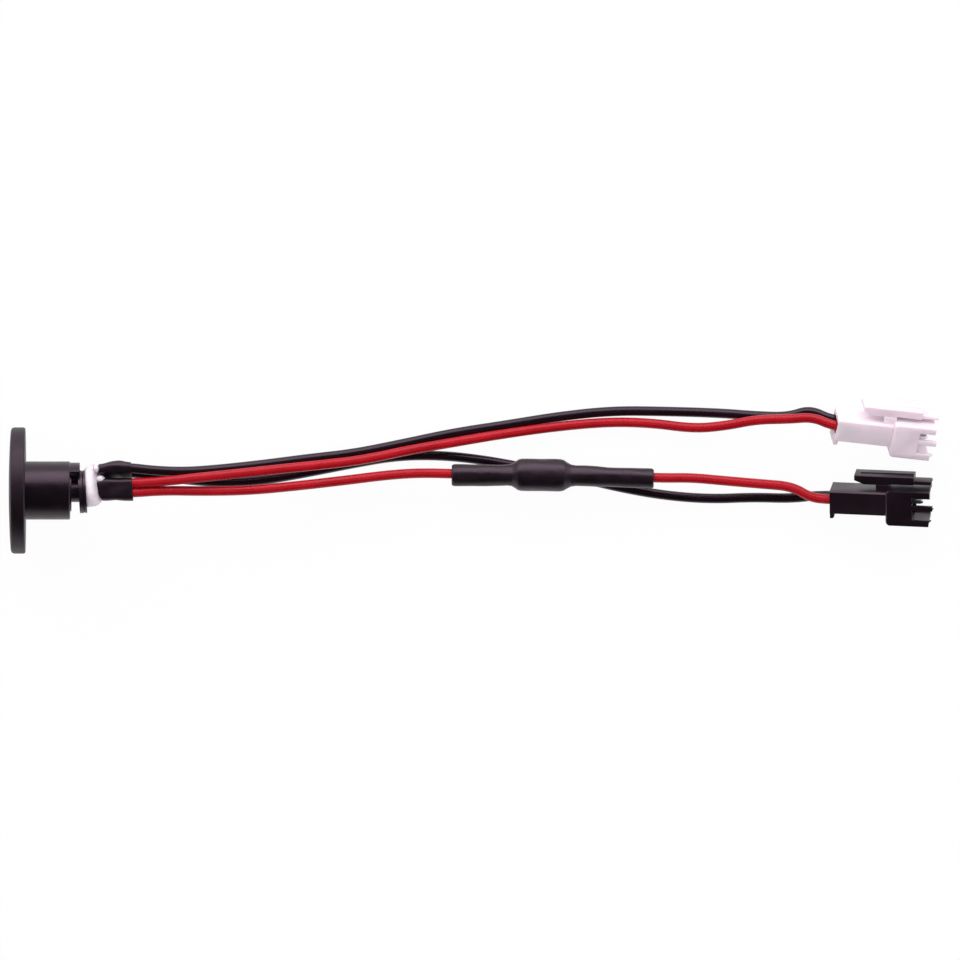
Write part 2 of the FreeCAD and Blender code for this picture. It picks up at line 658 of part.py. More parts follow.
def make_contact(side):
    """Stamped crimp pin contact: grips, wire crimp, spring box and pin."""
    middle = side * PITCH / 2
    outer = WIRE_R + GRIP_T
    grip_end = GRIP_START + GRIP_L
    bore = rod(WIRE_R, GRIP_START - 1, CAVITY_END, 0, middle)
    grips = rod(outer, GRIP_START, grip_end, 0, middle).cut(bore)
    gap = box(
        GRIP_START, grip_end, 0.4 * WIRE_R, 2 * outer,
        middle - GRIP_GAP / 2, middle + GRIP_GAP / 2)
    grips = grips.cut(gap)
    half_floor = GRIP_FLOOR_W / 2
    floor = box(
        GRIP_START, CAVITY_END, -outer, -WIRE_R + 0.1 * GRIP_T,
        middle - half_floor, middle + half_floor)
    floor = floor.cut(bore)
    crimp_end = CAVITY_END + CRIMP_L
    strip_top = STRIP_LOW + STRIP_T
    crimp = prism([
        (CAVITY_END, -outer), (CAVITY_END, CRIMP_HALF - CRIMP_FOLD),
        (CAVITY_END + CRIMP_FOLD, CRIMP_HALF), (crimp_end - CRIMP_FOLD, CRIMP_HALF),
        (crimp_end, CRIMP_HALF - CRIMP_FOLD), (crimp_end, strip_top),
        (SPRING_BOX_START, strip_top), (SPRING_BOX_START, STRIP_LOW),
        (CAVITY_END + STRIP_T, STRIP_LOW),
    ], middle - CRIMP_HALF, middle + CRIMP_HALF)
    spring_end = REAR_L - SPRING_BOX_SET
    half_box = SPRING_BOX_HALF
    spring_box = box(
        SPRING_BOX_START, spring_end, STRIP_LOW, half_box,
        middle - half_box, middle + half_box)
    half = CONTACT_PIN / 2
    low = CONTACT_PIN_Y - half
    high = CONTACT_PIN_Y + half
    taper_start = CONTACT_TIP - CONTACT_TAPER_L
    pin = prism([
        (spring_end - half, low), (taper_start, low), (CONTACT_TIP, low + CONTACT_TAPER),
        (CONTACT_TIP, high - CONTACT_TAPER), (taper_start, high), (spring_end - half, high),
    ], middle - half, middle + half)
    return grips.fuse([floor, crimp, spring_box, pin]).removeSplitter()


# Put together
def add_leads(parts):
    """The five leads, with their lengths and arc radii printed."""
    section = math.pi * WIRE_R ** 2
    for name, points in ROUTES.items():
        solid, radii, length = cord(points, WIRE_R)
        parts[name] = solid
        ratio = solid.Volume / (section * length)
        print(name, "length", round(length, 1), "volume ratio", round(ratio, 3))
        print("   arc radii", [round(radius, 1) for radius in radii])


def build():
    """All pieces of the set, by node name."""
    pin = make_centre_pin()
    spring = make_outer_contact()
    core = make_core(pin, spring)
    parts = {
        "port_shell": make_port_shell(),
        "contact_core": core,
        "centre_pin": pin,
        "outer_contact": spring,
    }
    add_leads(parts)

    black_pair = ("wire_black_a", "wire_black_b")
    red_pair = ("wire_red_a", "wire_red_b_in")
    lug_tail = Vector(0, BORE_R - LUG_INSET - LUG_T / 2, 0)
    black_hull = make_pair_sleeve(black_pair, BLACK_SLEEVE_L, True)
    red_hull = make_pair_sleeve(red_pair, RED_SLEEVE_L, False)
    joint_pin = make_joint(red_pair, Vector(0, 0, 0)).cut(pin)
    joint_lug = make_joint(black_pair, lug_tail).cut([spring, joint_pin, red_hull])
    black_wires = [parts[name] for name in black_pair]
    red_wires = [parts[name] for name in red_pair]
    parts["solder_lug"] = joint_lug
    parts["solder_pin"] = joint_pin
    parts["sleeve_black_pair"] = black_hull.cut(black_wires + [joint_lug])
    parts["sleeve_red_pair"] = red_hull.cut(red_wires + [joint_pin])
    inside = [core, pin, spring, joint_lug, joint_pin, black_hull, red_hull]
    parts["glue_boot"] = make_glue(inside + black_wires + red_wires)

    parts.update(make_diode())
    for end in ("in", "out"):
        wire = parts["wire_red_b_" + end]
        for piece in ("solder_" + end, "diode_lead_" + end):
            parts[piece] = parts[piece].cut(wire)
    parts["diode_sleeve"] = make_diode_sleeve()

    housing = make_housing()
    for colour, pose in (("white", WHITE_POSE), ("black", BLACK_POSE)):
        placed = housing.copy()
        placed.Placement = pose
        parts[colour + "_housing"] = placed
        for side, letter in ((-1, "a"), (1, "b")):
            contact = make_contact(side)
            contact.Placement = pose
            parts[colour + "_contact_" + letter] = contact
    return parts


def main():
    os.makedirs("parts", exist_ok=True)
    for name, shape in build().items():
        solids = shape.Solids
        if len(solids) == 1:
            shape = solids[0]
        else:
            print("check", name, "has", len(solids), "solids")
        if not shape.isValid():
            print("check", name, "is not valid")
        shape.exportStep("parts/" + name + ".step")
        bounds = shape.BoundBox
        print(name, "z from", round(bounds.ZMin, 2), "to", round(bounds.ZMax, 2))


if __name__ == "__main__":
    main()
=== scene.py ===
"""Looks of a panel-mount coaxial charging socket with its soldered leads.

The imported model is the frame. The leads are smooth cords along their routes, the
moulded pieces get rounded edges, the heat-shrink sleeves and the glue lump are
modelled as they lie, and the stage is a white table under soft light.
"""
import math

import bmesh
import bpy
from bpy.props import FloatProperty, FloatVectorProperty, IntProperty, PointerProperty
from mathutils import Matrix, Vector, noise


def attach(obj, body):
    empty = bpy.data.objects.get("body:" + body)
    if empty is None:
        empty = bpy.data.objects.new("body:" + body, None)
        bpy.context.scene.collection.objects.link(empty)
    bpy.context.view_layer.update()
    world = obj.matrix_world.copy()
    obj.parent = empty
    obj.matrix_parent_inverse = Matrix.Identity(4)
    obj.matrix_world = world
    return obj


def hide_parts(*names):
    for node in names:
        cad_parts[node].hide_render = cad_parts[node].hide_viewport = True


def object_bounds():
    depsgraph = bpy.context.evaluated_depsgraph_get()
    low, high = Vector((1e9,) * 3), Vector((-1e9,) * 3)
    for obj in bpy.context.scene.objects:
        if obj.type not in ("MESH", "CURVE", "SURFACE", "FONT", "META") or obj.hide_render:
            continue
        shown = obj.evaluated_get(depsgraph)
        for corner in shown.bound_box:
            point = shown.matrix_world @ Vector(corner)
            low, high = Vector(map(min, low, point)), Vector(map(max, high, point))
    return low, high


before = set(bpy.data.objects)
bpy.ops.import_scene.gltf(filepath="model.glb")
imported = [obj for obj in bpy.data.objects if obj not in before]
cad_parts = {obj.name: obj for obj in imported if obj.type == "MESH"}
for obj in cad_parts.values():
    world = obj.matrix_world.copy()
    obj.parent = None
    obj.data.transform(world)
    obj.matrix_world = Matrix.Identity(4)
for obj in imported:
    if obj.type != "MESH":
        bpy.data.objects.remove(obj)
CAD_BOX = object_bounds()

bl_info = {
    "name": "Charging port socket",
    "version": (1, 0, 0),
    "blender": (4, 5, 0),
    "location": "View3D > Sidebar > Socket",
    "description": "Leads, sleeves, housings and stage of a panel-mount charging socket",
    "category": "Object",
}

MM = 0.001
FLOOR_Z = CAD_BOX[0][2]

# What the photograph's frame covers, and where its middle falls on the object.
PHOTO_WIDTH_MM = 197.57
PHOTO_MIDDLE_MM = Vector((93.54, 2.16, -1.5))
CAMERA_DISTANCE_MM = 6000.0
CAMERA_REACH_M = 20.0
SENSOR_MM = 36.0

# Poses of the two housings and the pitch of their contacts, as in the model.
CONTACT_PITCH = 2.5
CAVITY_END = 2.9
WHITE_PLACE = (166.6, 13.85, -3.38)
WHITE_TURN = (-6.3, 12.0, 29.0)
BLACK_PLACE = (165.95, -1.44, -9.37)
BLACK_TURN = (-2.4, -7.6, 20.0)

# The diode's axis under the long sleeve.
DIODE_START = Vector((91.3, 3.3, -7.55))
DIODE_END = Vector((125.8, 2.78, -7.5))


def pose(place, turn):
    """A housing's place and its turn about Z, Y and X, in millimetres and degrees."""
    yaw, pitch, roll = (math.radians(angle) for angle in turn)
    matrix = Matrix.Rotation(yaw, 4, "Z") @ Matrix.Rotation(pitch, 4, "Y")
    return Matrix.Translation(place) @ matrix @ Matrix.Rotation(roll, 4, "X")


WHITE_POSE = pose(WHITE_PLACE, WHITE_TURN)
BLACK_POSE = pose(BLACK_PLACE, BLACK_TURN)


def in_housing(place, x, side):
    """A point on one cavity's axis, x behind the rear end; side is -1 or 1."""
    return tuple(place @ Vector((x, 0, side * CONTACT_PITCH / 2)))


# Where each lead lies in its sleeve at the socket: across and up.
LEAD_START = 15.2
SEAT_BLACK_A = (4.75, 0.75)
SEAT_BLACK_B = (3.75, -1.2)
SEAT_RED_A = (1.32, 0.3)
SEAT_RED_B = (-0.7, 0.3)

# Routes of the leads in millimetres: the model's points, some of them moved by less than
# a millimetre to follow the photograph.
ROUTES = {
    "wire_black_a": [
        (LEAD_START, 4.4, 0.7), (17.2, 4.6, 0.75), (21.0, *SEAT_BLACK_A),
        (26.9, 4.05, 0.2), (33.3, 3.85, -0.85), (40.5, 4.42, -2.3),
        (49, 5.35, -4.1), (58.5, 6.6, -6.1), (67.5, 7.6, -7.8),
        (77, 9.5, -9.4), (88, 11.85, -10.9), (99, 13.5, -11.75),
        (110, 15.3, -11.98), (121, 16.45, -11.8), (132, 16.3, -11.1),
        (143, 15.95, -9.6), (150.5, 15.35, -8.1), (157, 15.15, -6.5),
        (161.5, 16.65, -5.1),
        in_housing(WHITE_POSE, -0.6, -1), in_housing(WHITE_POSE, CAVITY_END, -1),
    ],
    "wire_red_a": [
        (LEAD_START, *SEAT_RED_A), (21.6, 1.48, 0.45),
        (28.4, 1.88, 0.85), (35.6, 2.65, 0.7), (44, 3.5, -0.8),
        (53, 4.5, -2.85), (62, 5.4, -4.85), (70, 6.4, -6.55),
        (79, 8.35, -8.05), (88, 9.9, -9.35), (98, 11.6, -10.4),
        (109, 13.15, -11.25), (120, 14.15, -11.5), (129, 13.9, -10.8),
        (137.5, 12.75, -9.4), (144, 13.3, -7.7), (150.5, 14.6, -5.85),
        (157.2, 14.7, -4.1), (162.1, 15.1, -2.8),
        in_housing(WHITE_POSE, -0.6, 1), in_housing(WHITE_POSE, CAVITY_END, 1),
    ],
    "wire_black_b": [
        (LEAD_START, 3.6, -1.2), (17.2, *SEAT_BLACK_B), (21.0, *SEAT_BLACK_B),
        (27, 3.05, -1.9), (33.6, 2.1, -3.1), (41, 1.62, -4.7),
        (49, 2.1, -6.6), (58, 3.7, -8.6), (67, 5.5, -10.3),
        (76, 7.1, -11.4), (85, 7.3, -11.85), (94, 6.35, -11.97),
        (104, 4.5, -11.97), (114, 2.6, -11.97), (124, 0.25, -11.9),
        (133, -1.2, -11.8), (141.5, -1.75, -11.7), (150, -1.4, -11.5),
        (157.8, -1.65, -11.3),
        in_housing(BLACK_POSE, -2.5, -1), in_housing(BLACK_POSE, CAVITY_END, -1),
    ],
    "wire_red_b_in": [
        (LEAD_START, *SEAT_RED_B), (21.6, -0.5, 0.1),
        (28.4, 0.0, -0.25), (36.4, -0.15, -0.85), (46, 0.0, -1.95),
        (56, 0.95, -3.5), (66, 2.1, -5.4), (75, 3.25, -6.8),
        (83, 3.7, -7.45), tuple(DIODE_START),
    ],
    "wire_red_b_out": [
        tuple(DIODE_END), (131.3, 2.55, -7.7), (137, 2.65, -7.9),
        (144, 2.0, -8.3), (151.5, 1.35, -8.6), (157.8, 0.85, -8.55),
        (161.7, -1.45, -8.5),
        in_housing(BLACK_POSE, -0.7, 1), in_housing(BLACK_POSE, CAVITY_END, 1),
    ],
}


# Sizes and colours that can be set in the sidebar
class LeadSettings(bpy.types.PropertyGroup):
    """Size and colours of the leads."""

    diameter: FloatProperty(
        name="Diameter", description="Width of a lead over its insulation",
        default=2.0 * MM, min=0.5 * MM, max=5 * MM, unit="LENGTH", precision=5)
    red: FloatVectorProperty(
        name="Red", description="Colour of the red insulation",
        default=(0.4, 0.003, 0.008), size=3, min=0, max=1, subtype="COLOR")
    black: FloatVectorProperty(
        name="Black", description="Colour of the black insulation",
        default=(0.0055, 0.003, 0.005), size=3, min=0, max=1, subtype="COLOR")


class MouldingSettings(bpy.types.PropertyGroup):
    """Edges of the moulded pieces."""

    shell_edge: FloatProperty(
        name="Shell edge", description="Edge radius of the flange and barrel",
        default=0.16 * MM, min=0, max=MM, unit="LENGTH", precision=5)
    housing_edge: FloatProperty(
        name="Housing edge", description="Edge radius of the crimp housings",
        default=0.11 * MM, min=0, max=0.3 * MM, unit="LENGTH", precision=5)
    steps: IntProperty(
        name="Edge steps", description="Facets across a rounded edge",
        default=2, min=1, max=6)


class SleeveSettings(bpy.types.PropertyGroup):
    """Heat-shrink sleeves."""

    wall: FloatProperty(
        name="Wall", description="Wall of a shrunk sleeve",
        default=0.3 * MM, min=0.1 * MM, max=MM, unit="LENGTH", precision=5)
    wrinkle: FloatProperty(
        name="Wrinkle", description="How far the surface stands out of true",
        default=0.07 * MM, min=0, max=0.5 * MM, unit="LENGTH", precision=5)
    facets: IntProperty(
        name="Facets", description="Facets round a sleeve",
        default=72, min=24, max=160)


class StageSettings(bpy.types.PropertyGroup):
    """Table and lights."""

    table_white: FloatProperty(
        name="Table white", description="Share of the table that is plain white to the camera",
        default=0.96, min=0, max=1, subtype="FACTOR")
    key: FloatProperty(
        name="Window light", description="Power of the wide soft light at the far side",
        default=16.0, min=0, unit="POWER")
    fill: FloatProperty(
        name="Ceiling bounce", description="Power of the matt bounce from above",
        default=14.0, min=0, unit="POWER")
    sky: FloatProperty(
        name="Room light", description="Strength of the light from all round",
        default=0.25, min=0, subtype="FACTOR")
    mirrored: FloatProperty(
        name="Ceiling in reflections", description="Strength of the dim ceiling in reflections",
        default=0.05, min=0, subtype="FACTOR")


# Nodes and materials
def linear(code):
    """The linear colour of an sRGB hex value."""
    channels = [int(code[i:i + 2], 16) / 255 for i in (1, 3, 5)]
    lit = [c / 12.92 if c <= 0.04045 else ((c + 0.055) / 1.055) ** 2.4 for c in channels]
    return [*lit, 1.0]


def add(tree, kind, sockets=None, **settings):
    """Adds a node, sets its properties, and sets or links its sockets."""
    made = tree.nodes.new(kind)
    for name, value in settings.items():
        setattr(made, name, value)
    for name, value in (sockets or {}).items():
        if isinstance(value, bpy.types.NodeSocket):
            tree.links.new(value, made.inputs[name])
        else:
            made.inputs[name].default_value = value
    return made


def blank(name):
    """A material with an empty tree, and its output."""
    material = bpy.data.materials.new(name)
    material.use_nodes = True
    tree = material.node_tree
    tree.nodes.clear()
    return material, tree, add(tree, "ShaderNodeOutputMaterial")


def per_metre(size_mm):
    """Pattern scale whose grains are size_mm apart, in Object coordinates."""
    return 1 / (size_mm * MM)


# Dark plastics shine faintly purple in the photograph's light.
DARK_SHINE = (1.0, 0.74, 0.93, 1.0)
# The part of the noise over which the tone changes, and how far the gloss changes with it.
TONE_FROM, TONE_TO = 0.3, 0.7
GLOSS_SWING = 0.05
# Half the width of the change from a rough rim to the rest, in millimetres.
RIM_BLEND = 0.05


def grained(name, light, dark, tone_mm, grain_mm, grain_depth_mm, rough, sockets, rim=None):
    """A plastic with slow changes of tone, a fine surface grain and uneven gloss.

    rim is a place along X in millimetres and how much rougher the surface is before it.
    """
    material, tree, output = blank(name)
    place = add(tree, "ShaderNodeTexCoord")
    spot = place.outputs["Object"]
    tone = add(tree, "ShaderNodeTexNoise", {
        "Vector": spot, "Scale": per_metre(tone_mm), "Detail": 3.0, "Roughness": 0.55})
    ramp = add(tree, "ShaderNodeValToRGB", {"Fac": tone.outputs["Fac"]})
    ramp.color_ramp.elements[0].position = TONE_FROM
    ramp.color_ramp.elements[0].color = dark
    ramp.color_ramp.elements[1].position = TONE_TO
    ramp.color_ramp.elements[1].color = light
    gloss = add(tree, "ShaderNodeMapRange", {
        "Value": tone.outputs["Fac"], "From Min": TONE_FROM, "From Max": TONE_TO,
        "To Min": rough - GLOSS_SWING, "To Max": rough + GLOSS_SWING})
    if rim:
        along = add(tree, "ShaderNodeSeparateXYZ", {"Vector": spot})
        matt = add(tree, "ShaderNodeMapRange", {
            "Value": along.outputs["X"], "From Min": (rim[0] - RIM_BLEND) * MM,
            "From Max": (rim[0] + RIM_BLEND) * MM, "To Min": rim[1], "To Max": 0.0})
        gloss = add(tree, "ShaderNodeMath", {
            0: gloss.outputs["Result"], 1: matt.outputs["Result"]}, operation="ADD")
    grain = add(tree, "ShaderNodeTexNoise", {
        "Vector": spot, "Scale": per_metre(grain_mm), "Detail": 4.0, "Roughness": 0.6})
    bump = add(tree, "ShaderNodeBump", {
        "Height": grain.outputs["Fac"], "Strength": 0.6, "Distance": grain_depth_mm * MM})
    shader = add(tree, "ShaderNodeBsdfPrincipled", {
        "Base Color": ramp.outputs["Color"], "Roughness": gloss.outputs[0],
        "Normal": bump.outputs["Normal"], **sockets})
    tree.links.new(shader.outputs["BSDF"], output.inputs["Surface"])
    return material


def moulded_abs():
    """Black ABS: the barrel is satin, and the flange is matt from an eroded mould."""
    return grained(
        "moulded_abs_black", linear("#120b10"), linear("#0b070a"),
        tone_mm=4.0, grain_mm=0.45, grain_depth_mm=0.03, rough=0.33,
        sockets={"IOR": 1.48, "Specular Tint": DARK_SHINE}, rim=(0.0, 0.18))


def moulded_core():
    """Black insulator of the contacts: glossier than the shell, from a polished mould."""
    return grained(
        "moulded_insulator_black", linear("#18131a"), linear("#0f0a0d"),
        tone_mm=2.0, grain_mm=0.6, grain_depth_mm=0.03, rough=0.32,
        sockets={"IOR": 1.54, "Specular Tint": DARK_SHINE})


def moulded_nylon_black():
    """Black nylon 66 housing: smooth, a soft shine on its faces and light edges."""
    return grained(
        "moulded_nylon_black", linear("#150c13"), linear("#0e070c"),
        tone_mm=5.0, grain_mm=0.8, grain_depth_mm=0.02, rough=0.36,
        sockets={"IOR": 1.53, "Specular Tint": DARK_SHINE})


def moulded_nylon_white():
    """Natural nylon 66 housing: milky, light passes a little way into its walls."""
    return grained(
        "moulded_nylon_white", linear("#ebdfe6"), linear("#e3d6de"),
        tone_mm=6.0, grain_mm=0.8, grain_depth_mm=0.02, rough=0.4,
        sockets={
            "IOR": 1.53, "Specular IOR Level": 0.25,
            "Subsurface Weight": 0.8, "Subsurface Scale": 1.3 * MM,
            "Subsurface Radius": (1.0, 0.8, 0.88)})


def pvc(name, colour, shade, shine):
    """Soft PVC insulation drawn over the strands: smooth, with a wide soft highlight.

    shade is how dark its darker tone is, and shine the strength of the highlight.
    """
    light = [*colour, 1.0]
    dark = [channel * shade for channel in colour] + [1.0]
    return grained(
        name, light, dark, tone_mm=7.0, grain_mm=1.4, grain_depth_mm=0.05, rough=0.27,
        sockets={"IOR": 1.52, "Specular IOR Level": shine, "Specular Tint": DARK_SHINE})


def heat_shrink():
    """Polyolefin tube shrunk by hot air: satin black with fine folds and scuffs."""
    return grained(
        "shrunk_polyolefin_black", linear("#170f15"), linear("#0f090e"),
        tone_mm=2.2, grain_mm=0.9, grain_depth_mm=0.08, rough=0.38,
        sockets={"IOR": 1.5, "Specular Tint": DARK_SHINE})


def hot_melt():
    """Hot-melt glue set from a gun: milky, glossy, light shines into it."""
    return grained(
        "hot_melt_glue", linear("#f4edf2"), linear("#dccfda"),
        tone_mm=3.0, grain_mm=1.6, grain_depth_mm=0.12, rough=0.3,
        sockets={
            "IOR": 1.48, "Subsurface Weight": 0.8, "Subsurface Scale": 2.5 * MM,
            "Subsurface Radius": (1.0, 0.85, 0.95)})


def moulded_epoxy():
    """Black epoxy body of the diode: matt from its mould."""
    return grained(
        "moulded_epoxy_black", linear("#2b2b2d"), linear("#1e1e20"),
        tone_mm=2.0, grain_mm=0.3, grain_depth_mm=0.03, rough=0.55, sockets={"IOR": 1.55})


# Drawing lines run along X: how much they are stretched, how far apart they are in
# millimetres, and how much darker the metal is in them.
LINE_STRETCH = (0.15, 1.0, 1.0)
LINE_MM = 0.25
LINE_SHADE = 0.8


def plated(name, colour, rough):
    """Plated metal: bright, with faint drawing lines and spots of duller plate."""
    material, tree, output = blank(name)
    place = add(tree, "ShaderNodeTexCoord")
    stretch = add(tree, "ShaderNodeMapping", {
        "Vector": place.outputs["Object"], "Scale": LINE_STRETCH})
    lines = add(tree, "ShaderNodeTexNoise", {
        "Vector": stretch.outputs["Vector"], "Scale": per_metre(LINE_MM), "Detail": 3.0})
    dull = add(tree, "ShaderNodeMapRange", {
        "Value": lines.outputs["Fac"], "To Min": rough - 0.1, "To Max": rough + 0.15})
    bump = add(tree, "ShaderNodeBump", {
        "Height": lines.outputs["Fac"], "Strength": 0.4, "Distance": 0.02 * MM})
    tint = add(tree, "ShaderNodeValToRGB", {"Fac": lines.outputs["Fac"]})
    tint.color_ramp.elements[0].color = [c * LINE_SHADE for c in colour[:3]] + [1.0]
    tint.color_ramp.elements[1].color = colour
    shader = add(tree, "ShaderNodeBsdfPrincipled", {
        "Base Color": tint.outputs["Color"], "Metallic": 1.0,
        "Roughness": dull.outputs["Result"], "Normal": bump.outputs["Normal"]})
    tree.links.new(shader.outputs["BSDF"], output.inputs["Surface"])
    return material


def nickel_plate():
    """Nickel plate over brass, barrel plated: bright and slightly warm."""
    return plated("nickel_plated_brass", linear("#cfc9bf"), 0.25)


def tin_plate():
    """Tin plate on stamped brass: soft silver shine."""
    return plated("tin_plated_brass", linear("#dddbd8"), 0.46)


def solder_joint():
    """Solder set from the iron: rounded, silver-grey, softly shining."""
    return plated("solder_silver_grey", linear("#c2c1c2"), 0.35)


# Mesh helpers: points closer than MERGE_MM are one, and faces that lean less than
# FLAT_DEGREES to each other are one face.
MERGE_MM = 0.002
FLAT_DEGREES = 0.6


def keep(name, bm, material, nodes=(), sharp=38.0):
    """Makes the mesh an object under the root empty, and hides the CAD nodes it takes the place
    of.
    """
    mesh = bpy.data.meshes.new(name)
    bm.to_mesh(mesh)
    bm.free()
    for polygon in mesh.polygons:
        polygon.use_smooth = True
    mesh.set_sharp_from_angle(angle=math.radians(sharp))
    mesh.materials.append(material)
    piece = bpy.data.objects.new(name, mesh)
    bpy.context.scene.collection.objects.link(piece)
    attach(piece, "root")
    if nodes:
        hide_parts(*nodes)
    return piece


def merged_copy(node):
    """A copy of a node's mesh with whole faces in place of its triangles."""
    bm = bmesh.new()
    bm.from_mesh(bpy.data.objects[node].data)
    bmesh.ops.remove_doubles(bm, verts=bm.verts, dist=MERGE_MM * MM)
    bmesh.ops.dissolve_limit(
        bm, angle_limit=math.radians(FLAT_DEGREES), use_dissolve_boundaries=False,
        verts=bm.verts, edges=bm.edges, delimit={"NORMAL"})
    return bm


def round_edges(bm, edge, steps, sharp=28.0):
    """Rounds the edges between faces that turn by more than sharp degrees."""
    bm.normal_update()
    limit = math.radians(sharp)
    hard = [e for e in bm.edges if len(e.link_faces) == 2 and e.calc_face_angle(0) > limit]
    bmesh.ops.bevel(
        bm, geom=hard, offset=edge, offset_type="OFFSET", affect="EDGES",
        segments=steps, profile=0.5, material=-1, clamp_overlap=True)


def paint(nodes, material):
    """Gives CAD nodes that stay a better material."""
    for node in nodes:
        mesh = bpy.data.objects[node].data
        mesh.materials.clear()
        mesh.materials.append(material)


def ruffle(bm, depth, size_mm, seed, stretch=1.0):
    """Moves the surface in and out by a smooth noise, slower along X with stretch.

    seed sets which part of the noise is used.
    """
    bm.normal_update()
    offset = Vector((seed, 2.7 * seed, 5.1 * seed))
    scale = per_metre(size_mm)
    for vert in bm.verts:
        spot = Vector((vert.co.x / stretch, vert.co.y, vert.co.z)) * scale + offset
        vert.co += vert.normal * depth * noise.noise(spot)


def tube_along_x(rings, facets, shape):
    """Rings drawn along X one after the other; shape gives a ring's point at an angle."""
    bm = bmesh.new()
    start = bmesh.ops.create_circle(bm, segments=facets, radius=1.0, cap_ends=False)
    ring = start["verts"]
    angles = {}
    for vert in ring:
        angles[vert] = math.atan2(vert.co.y, vert.co.x)
    edges = list(bm.edges)
    for vert in ring:
        vert.co = shape(rings[0], angles[vert])
    for place in rings[1:]:
        made = bmesh.ops.extrude_edge_only(bm, edges=edges)["geom"]
        new_verts = [item for item in made if isinstance(item, bmesh.types.BMVert)]
        edges = [
            item for item in made
            if isinstance(item, bmesh.types.BMEdge) and all(v in new_verts for v in item.verts)]
        fresh = {}
        for vert in new_verts:
            old = next(
                edge.other_vert(vert) for edge in vert.link_edges
                if edge.other_vert(vert) in angles)
            fresh[vert] = angles[old]
        for vert in new_verts:
            vert.co = shape(place, fresh[vert])
        angles = fresh
    bmesh.ops.recalc_face_normals(bm, faces=bm.faces)
    return bm


def wall_modifier(piece, thickness):
    """Gives an open tube its wall, inwards."""
    wall = piece.modifiers.new("wall", "SOLIDIFY")
    wall.thickness = thickness
    wall.offset = -1.0
    wall.use_even_offset = True


# Operators, one for each group of pieces
class SOCKET_OT_camera(bpy.types.Operator):
    """Sets the camera straight above, at the photograph's framing"""

    bl_idname = "socket.camera"
    bl_label = "Camera"

    def execute(self, context):
        data = bpy.data.cameras.new("camera")
        data.sensor_width = SENSOR_MM
        data.lens = SENSOR_MM * CAMERA_DISTANCE_MM / PHOTO_WIDTH_MM
        data.clip_end = CAMERA_REACH_M
        camera = bpy.data.objects.new("camera", data)
        above = PHOTO_MIDDLE_MM + Vector((0, 0, CAMERA_DISTANCE_MM))
        camera.location = above * MM
        context.scene.collection.objects.link(camera)
        context.scene.camera = camera
        context.scene.view_settings.view_transform = "Standard"
        return {"FINISHED"}


class SOCKET_OT_leads(bpy.types.Operator):
    """Draws the five leads as cords along their routes"""

    bl_idname = "socket.leads"
    bl_label = "Leads"

    # Steps between two points of a route and in a quarter of a lead's round.
    STEPS_ALONG = 16
    STEPS_ROUND = 7
    # Each insulation's darker tone and the strength of its highlight.
    RED_LOOK = (0.8, 0.3)
    BLACK_LOOK = (0.7, 0.42)

    def execute(self, context):
        settings = context.scene.socket_leads
        red = pvc("pvc_insulation_red", settings.red, *self.RED_LOOK)
        black = pvc("pvc_insulation_black", settings.black, *self.BLACK_LOOK)
        for name, route in ROUTES.items():
            curve = bpy.data.curves.new(name + "_lead", "CURVE")
            curve.dimensions = "3D"
            curve.resolution_u = self.STEPS_ALONG
            curve.bevel_depth = settings.diameter / 2
            curve.bevel_resolution = self.STEPS_ROUND
            curve.use_fill_caps = True
            spline = curve.splines.new("NURBS")
            spline.points.add(len(route) - 1)
            for point, spot in zip(spline.points, route):
                point.co = (spot[0] * MM, spot[1] * MM, spot[2] * MM, 1.0)
            spline.order_u = 3
            spline.use_endpoint_u = True
            is_red = "red" in name
            curve.materials.append(red if is_red else black)
            lead = bpy.data.objects.new(name + "_lead", curve)
            context.scene.collection.objects.link(lead)
            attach(lead, "root")
            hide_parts(name)
        return {"FINISHED"}


class SOCKET_OT_shell(bpy.types.Operator):
    """Rounds the flange, barrel and insulator, and plates the contacts"""

    bl_idname = "socket.shell"
    bl_label = "Socket shell"

    # The insulator's edges are finer than the shell's.
    CORE_SHARE = 0.5

    def execute(self, context):
        settings = context.scene.socket_mouldings
        shell = merged_copy("port_shell")
        round_edges(shell, settings.shell_edge, settings.steps)
        keep("flange_and_barrel", shell, moulded_abs(), ["port_shell"])
        core = merged_copy("contact_core")
        round_edges(core, self.CORE_SHARE * settings.shell_edge, settings.steps)
        keep("insulator_core", core, moulded_core(), ["contact_core"])
        paint(["centre_pin", "outer_contact"], nickel_plate())
        return {"FINISHED"}


